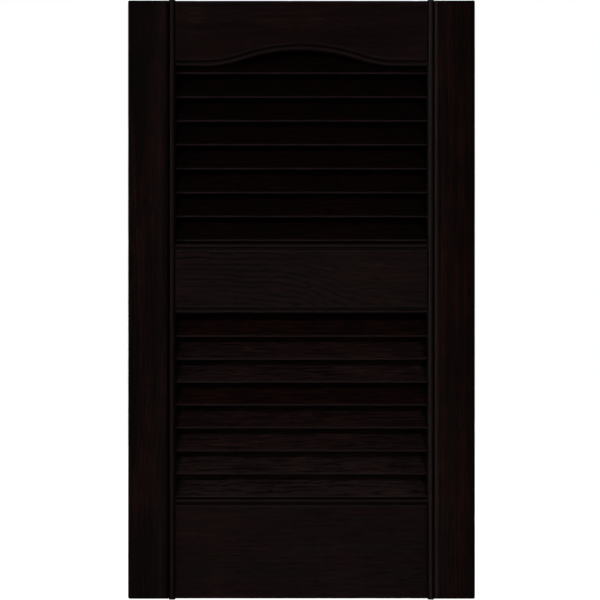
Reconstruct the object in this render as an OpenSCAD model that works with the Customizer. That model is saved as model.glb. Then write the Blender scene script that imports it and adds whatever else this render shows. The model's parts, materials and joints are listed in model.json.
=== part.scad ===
// Fixed louvre shutter panel: two stiles, three rails, two rows of slanted louvres and a
// bead strip along the inner edge of each stile. The lower edge of the top rail rises in
// a shallow arch, and a bead and its groove run along every rail edge that meets louvres.
//
// +X is right, +Z is up and the front faces -Y. The origin is in the middle of the back
// face, which lies against the wall. A depth is a distance in front of that face.

/* [Overall size] */
// Width over the two stiles
frame_w = 368.3; // [320:0.1:500]
// Height of the stiles
frame_h = 635; // [520:1:800]
// Thickness of the stiles, from the wall to the front
frame_t = 28.6; // [28:0.1:40]

/* [Stiles] */
// Width of each stile, with the bead strip that is let into it
stile_w = 50.15; // [40:0.05:80]
// Rounding of the outer front edge and of the outer corners
stile_edge_r = 2; // [0.5:0.1:4]
// Rounding of the stile face where it meets the bead strip
stile_arris_r = 3.2; // [1:0.1:4]

/* [Rails] */
// How far the rail faces lie behind the stile faces
rail_recess = 2.6; // [1.5:0.1:3.5]
// Height of the top rail at its ends
top_rail_h = 69.5; // [62:0.1:90]
// Height of the centre rail
centre_rail_h = 73.9; // [60:0.1:100]
// How far the middle of the centre rail lies above the middle of the frame
centre_rail_rise = 22.2; // [0:0.1:30]
// Height of the bottom rail
bottom_rail_h = 105.4; // [60:0.1:130]
// Rounding of the front edge at the top and at the bottom of the frame
rail_edge_r = 1.2; // [0.4:0.1:2]
// Rise of a rail's upper edge from the louvre above it to the wall
rail_weathering = 8; // [5:0.1:10]
// Distance from the wall to where that rise starts
weathering_depth = 14; // [10:0.1:15]

/* [Arch] */
// Distance from the middle of the arch to where its edge runs level
arch_half_w = 102; // [90:0.5:112]
// Height of the crown above the level ends
arch_rise = 17.3; // [8:0.1:22]
// Distance from the middle to where the curve turns over
arch_turn = 62; // [45:0.5:75]

/* [Bead moulding] */
// Radius of the bead
bead_r = 1.9; // [1.2:0.05:2.3]
// Wood between a rail's edge and its bead
bead_margin = 0.2; // [0.1:0.05:1]
// Width of the groove between the bead and the rail face
groove_w = 2.4; // [1.5:0.1:4]
// Depth of that groove under the rail face
groove_depth = 2.3; // [2:0.1:3]

/* [Bead strips] */
// Width of a bead strip
strip_w = 7; // [6.8:0.1:9]
// Height of a bead strip from its back to the crown of its bead
strip_h = 4.1; // [3.5:0.1:4.6]
// Thickness of the strip beside its bead
strip_base_t = 1.6; // [1:0.1:2]
// Radius of the strip's bead
strip_bead_r = 2.8; // [2:0.1:3]
// Distance from the louvre opening to the centre line of the strip's bead
strip_bead_inset = 3.6; // [3.2:0.1:4]
// How far the crown of the strip's bead lies behind the stile face
strip_recess = 1.3; // [0.8:0.1:1.5]
// How far a strip runs past the top and the bottom of the frame
strip_overrun = 1.1; // [0:0.1:3]

/* [Louvres] */
// Number of louvres above the centre rail
upper_louvres = 8; // [5:1:9]
// Number of louvres below the centre rail
lower_louvres = 8; // [5:1:9]
// Width of a louvre along its slope, from the lip to the upper edge
louvre_w = 33.6; // [28:0.1:35]
// Thickness of a louvre
louvre_t = 6; // [4:0.1:6.5]
// Rounding of the lip, where the sloping face meets the level lower edge
lip_r = 1.2; // [0.5:0.1:1.5]
// Distance from the wall to the back edge of a louvre
louvre_back = 1.5; // [1.3:0.1:3]
// How far a louvre leans back from upright, in degrees
louvre_lean = 33; // [25:0.5:34]
// Drop from the ends of the top rail to the lip of the louvre under it
upper_first_drop = 8.2; // [6:0.1:26]
// Drop from the centre rail to the lip of the louvre under it
lower_first_drop = 25.2; // [10:0.1:26]
// Height of the lowest upper lip above the centre rail
upper_last_rise = 2.8; // [1:0.1:8]
// Height of the lowest lower lip above the bottom rail
lower_last_rise = 1.4; // [1:0.1:8]

/* [Joints] */
// Thickness of a rail's tenon
tenon_t = 9; // [6:0.1:11]
// Length of a rail's tenon
tenon_len = 30; // [20:0.5:36]
// Height of the shoulder above and below a tenon
tenon_shoulder = 12; // [8:0.5:18]
// How deep the louvre ends sit in the stiles
louvre_housing = 8; // [5:0.1:12]
// Clearance round tenons, louvre ends and bead strips
joint_gap = 0.15; // [0.05:0.05:0.3]
// Wood between the louvre housings and the rebate of the bead strip
housing_web = 1.1; // [0.8:0.1:2]
// Clearance between a louvre and the rail that it passes behind
louvre_gap = 1.2; // [0.8:0.1:2]

/* [Hidden] */
$fn = 96;
BLACK_STAIN = [0.075, 0.047, 0.043];
LOUVRE_STAIN = [0.058, 0.035, 0.032];
PAST = 1;

half_w = frame_w / 2;
half_h = frame_h / 2;
opening_x = half_w - stile_w;
rail_face = frame_t - rail_recess;
groove_floor = rail_face - groove_depth;
bead_inset = bead_margin + bead_r;
moulding_w = bead_inset + bead_r + groove_w;

top_rail_z = half_h - top_rail_h;
centre_rail_top = centre_rail_rise + centre_rail_h / 2;
centre_rail_z = centre_rail_rise - centre_rail_h / 2;
bottom_rail_top = bottom_rail_h - half_h;

// The edge of the arch is two tangent arcs on each side: one round the crown and one
// round the shoulder, with centres straight below and above their level points.
arch_angle = 2 * atan(arch_rise / arch_half_w);
crown_r = arch_turn / sin(arch_angle);
shoulder_r = (arch_half_w - arch_turn) / sin(arch_angle);
crown_centre_z = top_rail_z + arch_rise - crown_r;
shoulder_centre_z = top_rail_z + shoulder_r;

strip_seat = frame_t - strip_recess - strip_h;
rebate_w = strip_w + joint_gap;

lip_depth = strip_seat - housing_web - joint_gap;
louvre_rise = louvre_w * cos(louvre_lean);
louvre_count = upper_louvres + lower_louvres;
upper_top_lip = top_rail_z - upper_first_drop;
lower_top_lip = centre_rail_z - lower_first_drop;
upper_last_lip = centre_rail_top + upper_last_rise;
lower_last_lip = bottom_rail_top + lower_last_rise;
upper_pitch = (upper_top_lip - upper_last_lip) / (upper_louvres - 1);
lower_pitch = (lower_top_lip - lower_last_lip) / (lower_louvres - 1);

// Lowest and highest point of each rail's tenons.
tenon_depth = rail_face / 2;
top_tenon = [upper_top_lip + louvre_rise + 3 * louvre_gap, half_h - tenon_shoulder];
centre_tenon = [centre_rail_z + tenon_shoulder, centre_rail_top - tenon_shoulder];
bottom_tenon = [tenon_shoulder - half_h, bottom_rail_top - tenon_shoulder];

// Louvres are counted from the top, 1 to louvre_count.
function louvre_name(i) = str("louvre_", i < 10 ? "0" : "", i);
function lip_z(i) = i <= upper_louvres
    ? upper_top_lip - (i - 1) * upper_pitch
    : lower_top_lip - (i - 1 - upper_louvres) * lower_pitch;

// Runs a section drawn in Y and Z from x0 to x1.
module along_x(x0, x1) {
    translate([x0, 0, 0])
        rotate([90, 0, 90])
            linear_extrude(height = x1 - x0)
                children();
}

// Gives an outline drawn in X and Z a thickness from one depth to another.
module through_y(depth0, depth1) {
    translate([0, -depth0, 0])
        rotate([90, 0, 0])
            linear_extrude(height = depth1 - depth0)
                children();
}

// Waste that rounds the sharp corner at the origin of a solid lying at -X and -Y.
module corner_waste(r) {
    difference() {
        translate([-r, -r])
            square(r + PAST);
        translate([-r, -r])
            circle(r);
    }
}

// Section of a louvre with its lip at height z; grow makes its housing. The slat slopes
// back from the lip, and its lower edge is cut level and its back edge plumb.
module louvre_section(z, grow = 0) {
    r = lip_r + grow;
    translate([lip_r - lip_depth, z + lip_r]) {
        circle(r);
        rotate(90 - louvre_lean)
            square([2 * r / tan(louvre_lean), r]);
        intersection() {
            translate([0, -r])
                square([lip_depth - lip_r - louvre_back + grow, louvre_rise + 2 * grow]);
            rotate(90 - louvre_lean)
                translate([-louvre_t, lip_r - louvre_t - grow])
                    square([louvre_w + 2 * louvre_t, louvre_t + 2 * grow]);
        }
    }
}

// Room behind a rail for the louvre with its lip at height z.
module louvre_room(z) {
    reach = lip_r + louvre_gap;
    face_y = lip_r - lip_depth - reach * cos(louvre_lean);
    face_z = z + lip_r + reach * sin(louvre_lean);
    top_z = z + louvre_rise + louvre_gap;
    slope = tan(louvre_lean);
    polygon([
        [face_y, face_z],
        [face_y + (top_z - face_z) * slope, top_z],
        [PAST, top_z],
        [PAST, face_z]
    ]);
}

// Plan of the right-hand stile: the rebate for the bead strip and the eased front edges.
module stile_plan() {
    difference() {
        translate([opening_x, -frame_t])
            square([stile_w, frame_t]);
        translate([opening_x - PAST, -frame_t - PAST])
            square([rebate_w + PAST, frame_t - strip_seat + PAST]);
        translate([half_w, -frame_t])
            mirror([0, 1])
                corner_waste(stile_edge_r);
        translate([opening_x + rebate_w, -frame_t])
            mirror([0, 1])
                mirror([1, 0])
                    corner_waste(stile_arris_r);
    }
}

// Hole in a stile for the tenon of a rail that reaches from z0 to z1.
module mortise(z0, z1) {
    translate([opening_x - PAST, -tenon_depth - tenon_t / 2 - joint_gap, z0 - joint_gap])
        cube([PAST + tenon_len + joint_gap, tenon_t + 2 * joint_gap, z1 - z0 + 2 * joint_gap]);
}

// Tenons at both ends of a rail, between two heights.
module tenons(z0, z1) {
    for (side = [-1, 1])
        translate([side * (opening_x + tenon_len / 2), -tenon_depth, (z0 + z1) / 2])
            cube([tenon_len, tenon_t, z1 - z0], center = true);
}

module stile() {
    difference() {
        translate([0, 0, -half_h])
            linear_extrude(height = frame_h)
                stile_plan();
        for (up = [0, 1])
            mirror([0, 0, up])
                through_y(-PAST, frame_t + PAST)
                    translate([half_w, half_h])
                        corner_waste(stile_edge_r);
        for (span = [top_tenon, centre_tenon, bottom_tenon])
            mortise(span[0], span[1]);
        for (i = [1 : louvre_count])
            along_x(opening_x - PAST, opening_x + louvre_housing)
                louvre_section(lip_z(i), joint_gap);
    }
}

module stile_left() {
    color(BLACK_STAIN)
        mirror([1, 0, 0])
            stile();
}

module stile_right() {
    color(BLACK_STAIN)
        stile();
}

// Section of a straight rail from z0 to z1. A moulded edge carries a bead and its groove,
// and a plain one is rounded at the front. A moulded upper edge sheds rain: behind the
// louvre above it, it rises towards the wall.
module rail_section(z0, z1, moulded_low, moulded_high) {
    face_z0 = z0 + (moulded_low ? moulding_w : 0);
    face_z1 = z1 - (moulded_high ? moulding_w : 0);
    difference() {
        union() {
            translate([-groove_floor, z0])
                square([groove_floor, z1 - z0]);
            translate([-rail_face, face_z0])
                square([groove_depth + PAST, face_z1 - face_z0]);
            if (moulded_low)
                translate([-groove_floor, z0 + bead_inset])
                    circle(bead_r);
            if (moulded_high)
                translate([-groove_floor, z1 - bead_inset])
                    circle(bead_r);
            if (moulded_high)
                polygon([
                    [-weathering_depth, z1 - PAST],
                    [-weathering_depth, z1],
                    [0, z1 + rail_weathering],
                    [0, z1 - PAST]
                ]);
        }
        if (!moulded_low)
            translate([-rail_face, z0])
                mirror([1, 0])
                    mirror([0, 1])
                        corner_waste(rail_edge_r);
        if (!moulded_high)
            translate([-rail_face, z1])
                mirror([1, 0])
                    corner_waste(rail_edge_r);
    }
}

module bottom_rail() {
    color(BLACK_STAIN) {
        along_x(-opening_x, opening_x)
            rail_section(-half_h, bottom_rail_top, false, true);
        tenons(bottom_tenon[0], bottom_tenon[1]);
    }
}

module centre_rail() {
    color(BLACK_STAIN) {
        along_x(-opening_x, opening_x)
            difference() {
                rail_section(centre_rail_z, centre_rail_top, true, true);
                louvre_room(lower_top_lip);
            }
        tenons(centre_tenon[0], centre_tenon[1]);
    }
}

// The opening under the arch, with its edge moved up by lift. The crown and shoulder
// arcs keep their centres, so every lift gives a parallel edge.
module arch_opening(lift) {
    turn_x = (crown_r + lift) * sin(arch_angle);
    turn_z = crown_centre_z + (crown_r + lift) * cos(arch_angle);
    low_z = top_rail_z - PAST;
    translate([-arch_half_w - PAST, low_z])
        square([2 * (arch_half_w + PAST), lift + PAST]);
    intersection() {
        translate([-turn_x, low_z])
            square([2 * turn_x, arch_rise + lift + 2 * PAST]);
        translate([0, crown_centre_z])
            circle(crown_r + lift, $fn = 360);
    }
    for (side = [-1, 1])
        difference() {
            translate([side > 0 ? turn_x : -arch_half_w, low_z])
                square([arch_half_w - turn_x, turn_z - low_z]);
            translate([side * arch_half_w, shoulder_centre_z])
                circle(shoulder_r - lift, $fn = 360);
        }
}

// The arched middle of the top rail, as thick as from one depth to another.
module arch_slab(depth0, depth1, lift) {
    through_y(depth0, depth1)
        difference() {
            translate([-arch_half_w, top_rail_z])
                square([2 * arch_half_w, top_rail_h]);
            arch_opening(lift);
        }
}

// Bead along the arch: a ring that follows the crown and one round each shoulder.
module arch_bead() {
    for (right = [0, 1])
        mirror([right, 0, 0])
            translate([-arch_half_w, -groove_floor, shoulder_centre_z])
                rotate([90, 90, 0])
                    rotate_extrude(angle = arch_angle, $fn = 360)
                        translate([shoulder_r - bead_inset, 0])
                            circle(bead_r);
    translate([0, -groove_floor, crown_centre_z])
        rotate([90, arch_angle - 90, 0])
            rotate_extrude(angle = 2 * arch_angle, $fn = 360)
                translate([crown_r + bead_inset, 0])
                    circle(bead_r);
}

// Between its straight ends the top rail is a body, a face and a bead that rise together.
module top_rail() {
    color(BLACK_STAIN) {
        for (side = [-1, 1])
            along_x(side > 0 ? arch_half_w : -opening_x, side > 0 ? opening_x : -arch_half_w)
                difference() {
                    rail_section(top_rail_z, half_h, true, false);
                    louvre_room(upper_top_lip);
                }
        difference() {
            union() {
                arch_slab(0, groove_floor, 0);
                arch_slab(groove_floor - PAST, rail_face, moulding_w);
            }
            along_x(-arch_half_w - PAST, arch_half_w + PAST) {
                louvre_room(upper_top_lip);
                translate([-rail_face, half_h])
                    mirror([1, 0])
                        corner_waste(rail_edge_r);
            }
        }
        arch_bead();
        tenons(top_tenon[0], top_tenon[1]);
    }
}

module bead_strip() {
    crown = strip_seat + strip_h;
    translate([0, 0, -half_h - strip_overrun])
        linear_extrude(height = frame_h + 2 * strip_overrun) {
            translate([opening_x, -strip_seat - strip_base_t])
                square([strip_w, strip_base_t]);
            intersection() {
                translate([opening_x, -crown - PAST])
                    square([strip_w, strip_h + PAST]);
                translate([opening_x + strip_bead_inset, strip_bead_r - crown]) {
                    circle(strip_bead_r);
                    translate([-strip_bead_r, 0])
                        square([2 * strip_bead_r, strip_h]);
                }
            }
        }
}

module bead_strip_left() {
    color(BLACK_STAIN)
        mirror([1, 0, 0])
            bead_strip();
}

module bead_strip_right() {
    color(BLACK_STAIN)
        bead_strip();
}

module louvre(i) {
    half_len = opening_x + louvre_housing - joint_gap;
    color(LOUVRE_STAIN)
        along_x(-half_len, half_len)
            louvre_section(lip_z(i));
}

stile_left();
stile_right();
top_rail();
centre_rail();
bottom_rail();
bead_strip_left();
bead_strip_right();
for (i = [1 : louvre_count])
    louvre(i);
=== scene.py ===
"""Looks of a fixed louvre shutter panel: dark stained joinery with real grain relief."""
import json
import math

import bpy
import numpy as np
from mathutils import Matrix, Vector

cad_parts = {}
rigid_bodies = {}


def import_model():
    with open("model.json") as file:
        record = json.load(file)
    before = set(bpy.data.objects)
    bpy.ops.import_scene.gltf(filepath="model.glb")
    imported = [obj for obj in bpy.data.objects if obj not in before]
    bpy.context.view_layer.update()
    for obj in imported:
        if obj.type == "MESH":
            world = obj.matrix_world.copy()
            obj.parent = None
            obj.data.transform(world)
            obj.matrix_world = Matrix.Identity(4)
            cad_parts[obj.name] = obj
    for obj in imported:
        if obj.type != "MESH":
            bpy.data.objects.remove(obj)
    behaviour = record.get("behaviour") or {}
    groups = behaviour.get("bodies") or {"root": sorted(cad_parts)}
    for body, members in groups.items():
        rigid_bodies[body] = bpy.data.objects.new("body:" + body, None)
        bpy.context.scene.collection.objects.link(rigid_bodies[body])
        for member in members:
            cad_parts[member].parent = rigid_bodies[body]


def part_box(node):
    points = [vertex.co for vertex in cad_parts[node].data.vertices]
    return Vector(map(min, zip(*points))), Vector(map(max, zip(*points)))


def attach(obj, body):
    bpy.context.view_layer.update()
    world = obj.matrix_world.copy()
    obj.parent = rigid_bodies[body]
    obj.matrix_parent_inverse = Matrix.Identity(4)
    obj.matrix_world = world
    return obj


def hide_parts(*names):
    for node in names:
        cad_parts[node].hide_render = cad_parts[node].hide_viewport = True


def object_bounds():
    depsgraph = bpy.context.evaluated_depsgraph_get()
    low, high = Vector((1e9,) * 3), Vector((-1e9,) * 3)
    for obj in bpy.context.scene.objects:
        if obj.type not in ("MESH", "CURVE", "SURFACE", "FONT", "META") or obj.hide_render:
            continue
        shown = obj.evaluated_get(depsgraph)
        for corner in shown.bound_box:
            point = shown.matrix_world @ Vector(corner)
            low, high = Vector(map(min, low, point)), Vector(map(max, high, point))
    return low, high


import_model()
cad_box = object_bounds()

MM = 0.001

# ---------------------------------------------------------------------------
# Sizes, read from the CAD nodes where a box gives them
# ---------------------------------------------------------------------------
stile_low, stile_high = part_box("stile_right")
OPENING_X = stile_low.x
OUTER_X = stile_high.x
FRAME_TOP = stile_high.z
FRAME_LOW = stile_low.z
STILE_FACE = stile_low.y

strip_low, strip_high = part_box("bead_strip_right")
STRIP_SEAT = strip_high.y
STRIP_CROWN = strip_low.y
STRIP_SIDE = strip_high.x
STRIP_TOP = strip_high.z

RAIL_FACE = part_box("centre_rail")[0].y
CENTRE_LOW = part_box("centre_rail")[0].z
WEATHERING = 8 * MM
WEATHERING_DEPTH = 14 * MM
CENTRE_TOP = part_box("centre_rail")[1].z - WEATHERING
BOTTOM_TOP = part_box("bottom_rail")[1].z - WEATHERING
TOP_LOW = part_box("top_rail")[0].z

STILE_EDGE_R = 2.0 * MM
STILE_BACK_R = 0.6 * MM
STILE_ARRIS_R = 3.2 * MM
STILE_FACE_EASE = 0.9 * MM
STILE_END_STEPS = [0.1 * MM, 0.3 * MM, 0.6 * MM, 1.0 * MM, 1.5 * MM, 2.0 * MM]
RAIL_EDGE_R = 1.2 * MM
RAIL_FACE_EASE = 0.4 * MM
RAIL_END_STEPS = [0.15 * MM, 0.4 * MM]
FACE_ARRIS_R = 0.7 * MM
TOP_FACE_STEPS = 46
TOP_SLOPE_STEPS = 5

BEAD_R = 1.9 * MM
BEAD_INSET = 2.1 * MM
GROOVE_W = 2.4 * MM
GROOVE_FLOOR = RAIL_FACE + 2.3 * MM
MOULDING_W = BEAD_INSET + BEAD_R + GROOVE_W

STRIP_BASE_T = 1.6 * MM
STRIP_BEAD_R = 2.8 * MM
STRIP_BEAD_INSET = 3.6 * MM
STRIP_GAP = 0.15 * MM
STRIP_CORNER = 0.25 * MM
STRIP_CROWN_EASE = 0.6 * MM
STRIP_END_STEPS = [0.1 * MM, 0.3 * MM, 0.6 * MM]

ARCH_HALF_W = 102 * MM
ARCH_RISE = 17.3 * MM
ARCH_TURN = 62 * MM

LOUVRE_T = 6 * MM
LOUVRE_LEAN = math.radians(33)
LOUVRE_GAP = 1.2 * MM
LOUVRE_SEAT = 3 * MM
LIP_R = 1.2 * MM

UPPER_LOUVRES = [f"louvre_{i:02d}" for i in range(1, 9)]
LOWER_LOUVRES = [f"louvre_{i:02d}" for i in range(9, 17)]

# Stain value of each louvre, from the top: under 1 darker, which on the upper louvres is painted shade, and
# over 1 a grey added on top, which is a painted sheen.
UPPER_STAIN_AND_SHADE = (0.40, 0.42, 0.44, 0.46, 0.48, 0.52, 0.54, 0.56)
LOWER_STAIN_AND_SHEEN = (0.85, 1.30, 1.40, 0.90, 1.25, 1.35, 1.50, 1.60)


# ---------------------------------------------------------------------------
# Grain: smooth lattice noise and the growth rings that a board's face cuts
# ---------------------------------------------------------------------------
def lattice(ix, iy, iz, seed):
    """A fixed random value from 0 to 1 for each corner of a unit lattice."""
    h = (ix * 374761393 + iy * 668265263 + iz * 1442695041 + seed * 97531357) & 0xFFFFFFFF
    h = ((h ^ (h >> 13)) * 1274126177) & 0xFFFFFFFF
    h = ((h ^ (h >> 15)) * 2246822519) & 0xFFFFFFFF
    return (h ^ (h >> 16)) / 4294967295.0


def smooth_noise(x, y, z, seed):
    """Value noise from -1 to 1, one cell to a unit."""
    cell = [np.floor(c).astype(np.int64) for c in (x, y, z)]
    part = [c - f for c, f in zip((x, y, z), cell)]
    ease = [p * p * p * (p * (p * 6 - 15) + 10) for p in part]
    total = 0
    for dx in (0, 1):
        for dy in (0, 1):
            for dz in (0, 1):
                weight = 1
                for d, e in zip((dx, dy, dz), ease):
                    weight = weight * (e if d else 1 - e)
                total = total + weight * lattice(cell[0] + dx, cell[1] + dy, cell[2] + dz, seed)
    return total * 2 - 1


def ring_line(phase):
    """How strongly a growth line shows: 0 between rings, 1 in the pores of the spring wood."""
    t = phase - np.floor(phase)
    rise = np.clip((t - 0.45) / 0.4, 0, 1)
    fall = np.clip((1 - t) / 0.15, 0, 1)
    return (rise * rise * (3 - 2 * rise)) * (fall * fall * (3 - 2 * fall))


def board_figure(along, across, depth, board):
    """Growth lines, 0 to 1, on a board. The rings lie round a pith that wanders along the board."""
    seed = board["seed"]
    wander = smooth_noise(along / board["wander_len"], across / 0.09, depth * 0, seed)
    ripple = smooth_noise(along / 0.028, across / 0.012, depth / 0.03, seed + 1)
    swing = 1 / (1 + np.exp(-(along - board["turn_at"]) / board["turn_len"]))
    pith_across = board["pith_across"] + board["wander"] * wander
    pith_depth = board["pith_depth"] + board["swing"] * swing + depth
    radius = np.hypot(across - pith_across, pith_depth) + board["ripple"] * ripple
    line = ring_line(radius / board["ring"])
    broken = smooth_noise(along / 0.017, across / 0.0022, depth / 0.0022, seed + 2)
    faded = smooth_noise(along / 0.11, across / 0.05, depth * 0, seed + 3)
    return line * np.clip(0.72 + 0.5 * broken, 0, 1) * np.clip(0.75 + 0.5 * faded, 0.15, 1)


def pore_ticks(along, across, depth, seed):
    """Short open pores, 0 to 1, a few millimetres long and a fraction of one wide."""
    n = smooth_noise(along / 0.0055, across / 0.0009, depth / 0.0009, seed)
    return np.clip((n - 0.42) / 0.3, 0, 1)


BOARD = {
    "seed": 1, "wander_len": 0.20, "wander": 0.006, "ripple": 0.0006, "ring": 0.005,
    "pith_across": 0.09, "pith_depth": 0.02, "turn_at": 0.0, "turn_len": 0.05, "swing": 0.0,
}


# ---------------------------------------------------------------------------
# Meshes: a closed section carried along a board
# ---------------------------------------------------------------------------
# Bends sharper than this radius are lightened as rubbed wear and painted highlight; grooves within the reach
# below are darkened as painted shade.
RUB_RADIUS = 1.1 * MM
GROOVE_REACH = 8 * MM
RAY_START = 0.05 * MM
RAY_ANGLES = np.radians(np.arange(-165, 0, 15))


def arc(cx, cy, r, a0, a1, steps):
    """Points along an arc, in degrees, both ends included."""
    angles = np.radians(np.linspace(a0, a1, steps + 1))
    return [(cx + r * math.cos(a), cy + r * math.sin(a)) for a in angles]


def ruled(a, b, step):
    """Points from a towards b, without b, no further apart than step."""
    n = max(1, math.ceil(math.dist(a, b) / step))
    return [(a[0] + (b[0] - a[0]) * i / n, a[1] + (b[1] - a[1]) * i / n) for i in range(n)]


def between(a, b, parts):
    """Points from a to b, both included, in a number of equal parts."""
    return [tuple(p + (q - p) * i / parts for p, q in zip(a, b)) for i in range(parts + 1)]


def outline(corners, steps):
    """A closed outline through corner points, each side cut into steps of its own length.
    A corner may be a list, for a stretch that is already fine, such as an arc."""
    points = []
    stretches = [c if isinstance(c, list) else [c] for c in corners]
    for i, stretch in enumerate(stretches):
        points += stretch[:-1]
        points += ruled(stretch[-1], stretches[(i + 1) % len(stretches)][0], steps[i])
    return points


def stations(low, high, step, ease=()):
    """Places along a board in even steps, with some more at short distances from both ends."""
    n = max(2, round((high - low) / step))
    inner = list(np.linspace(low, high, n + 1))
    return np.array(sorted(set(inner + [low + e for e in ease] + [high - e for e in ease])))


def carried(section, places, axis):
    """Grid of points: a closed outline set out at each place along a board that runs along X
    or Z. The outline is in Y and Z for X, and in X and Y for Z."""
    first, second = {"X": (1, 2), "Z": (0, 1)}[axis]
    grid = np.zeros((len(places), len(section), 3))
    grid[..., first], grid[..., second] = section[:, 0], section[:, 1]
    grid[..., "XYZ".index(axis)] = places[:, None]
    return grid


def grid_normals(grid):
    """Outward normals of a closed grid of points, rows along the board and columns round it."""
    along = np.gradient(grid, axis=0)
    around = np.roll(grid, -1, axis=1) - np.roll(grid, 1, axis=1)
    n = np.cross(around, along)
    n /= np.maximum(np.linalg.norm(n, axis=2, keepdims=True), 1e-12)
    from_middle = grid - grid.mean(axis=1, keepdims=True)
    return n if (from_middle * n).sum() > 0 else -n


def wear_and_painted_light(section, rub_radius=RUB_RADIUS):
    """Wear and painted light round a closed outline: up to 1 where an outward bend is rubbed thin, which
    also stands as a painted highlight on the bend, down to -1 deep in a groove, as painted shade."""
    p = np.array(section)
    if (p[:, 0] * np.roll(p[:, 1], -1) - np.roll(p[:, 0], -1) * p[:, 1]).sum() < 0:
        return wear_and_painted_light(section[::-1], rub_radius)[::-1]
    before, after = p - np.roll(p, 1, axis=0), np.roll(p, -1, axis=0) - p
    turn = np.arctan2(before[:, 0] * after[:, 1] - before[:, 1] * after[:, 0], (before * after).sum(axis=1))
    step = (np.linalg.norm(before, axis=1) + np.linalg.norm(after, axis=1)) / 2
    rub = np.clip(turn / np.maximum(step, 1e-6) * rub_radius, 0, 1)
    rub = np.maximum(rub, 0.5 * np.maximum(np.roll(rub, 1), np.roll(rub, -1)))
    return rub - (1 - rub) * (1 - open_sky(p, before + after))


def open_sky(p, tangent):
    """Share of the half plane outside each point of a counter-clockwise outline that the
    outline itself leaves open within a short reach."""
    heading = np.arctan2(tangent[:, 1], tangent[:, 0])
    a, b = p, np.roll(p, -1, axis=0)
    seen, total = np.zeros(len(p)), 0
    for turn in RAY_ANGLES:
        ray = np.stack([np.cos(heading + turn), np.sin(heading + turn)], axis=1)
        start = p + ray * RAY_START
        side, gap = (b - a)[None], a[None] - start[:, None]
        cross = ray[:, None, 0] * side[..., 1] - ray[:, None, 1] * side[..., 0]
        cross = np.where(np.abs(cross) < 1e-15, 1e-15, cross)
        along = (gap[..., 0] * side[..., 1] - gap[..., 1] * side[..., 0]) / cross
        across = (gap[..., 0] * ray[:, None, 1] - gap[..., 1] * ray[:, None, 0]) / cross
        hit = (along > 0) & (along < GROOVE_REACH) & (across >= 0) & (across <= 1)
        weight = math.sin(-turn)
        seen += weight * ~hit.any(axis=1)
        total += weight
    return seen / total


def carve(grid, board, grain, relief, pores, keep=None):
    """Sinks growth lines and pores into a grid of points. Returns the new points and the
    growth lines, which the finish reads again."""
    order = {"X": (0, 2, 1), "Z": (2, 0, 1)}[grain]
    along, across, depth = (grid[..., i] for i in order)
    figure = board_figure(along, across, depth - RAIL_FACE, board)
    ticks = pore_ticks(along, across, depth, board["seed"] + 9)
    sink = relief * figure + pores * ticks
    if keep is not None:
        sink = sink * keep
    return grid - grid_normals(grid) * sink[..., None], figure


def make_piece(name, grid, figure, wear_and_light, material, nodes):
    """A closed mesh from a grid of points, which stands for the CAD nodes that it replaces."""
    rows, cols = grid.shape[:2]
    verts = grid.reshape(-1, 3)
    index = np.arange(rows * cols).reshape(rows, cols)
    nxt = np.roll(index, -1, axis=1)
    quads = np.stack([index[:-1], nxt[:-1], nxt[1:], index[1:]], axis=-1).reshape(-1, 4)
    faces = [tuple(q) for q in quads.tolist()]
    faces.append(tuple(reversed(index[0].tolist())))
    faces.append(tuple(index[-1].tolist()))
    mesh = bpy.data.meshes.new(name)
    mesh.from_pydata(verts.tolist(), [], faces)
    mesh.update()
    for key, field in (("figure", figure), ("wear_and_painted_light", np.broadcast_to(wear_and_light, (rows, cols)))):
        values = mesh.attributes.new(key, "FLOAT", "POINT")
        values.data.foreach_set("value", field.reshape(-1).astype(np.float32))
    smooth = np.ones(len(mesh.polygons), bool)
    smooth[-2:] = False
    mesh.polygons.foreach_set("use_smooth", smooth)
    mesh.materials.append(material)
    return place(bpy.data.objects.new(name, mesh), nodes)


def place(obj, nodes):
    """Links a finished piece, turns its faces outwards and ties it to the frame."""
    if obj.name not in bpy.context.scene.collection.objects:
        bpy.context.scene.collection.objects.link(obj)
    if signed_volume(obj.data) < 0:
        obj.data.flip_normals()
    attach(obj, "root")
    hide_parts(*nodes)
    return obj


def signed_volume(mesh):
    mesh.calc_loop_triangles()
    co = np.array([v.co for v in mesh.vertices], float)
    tri = np.array([t.vertices for t in mesh.loop_triangles])
    a, b, c = (co[tri[:, i]] for i in range(3))
    return float(np.einsum("ij,ij->i", a, np.cross(b, c)).sum() / 6)


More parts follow.
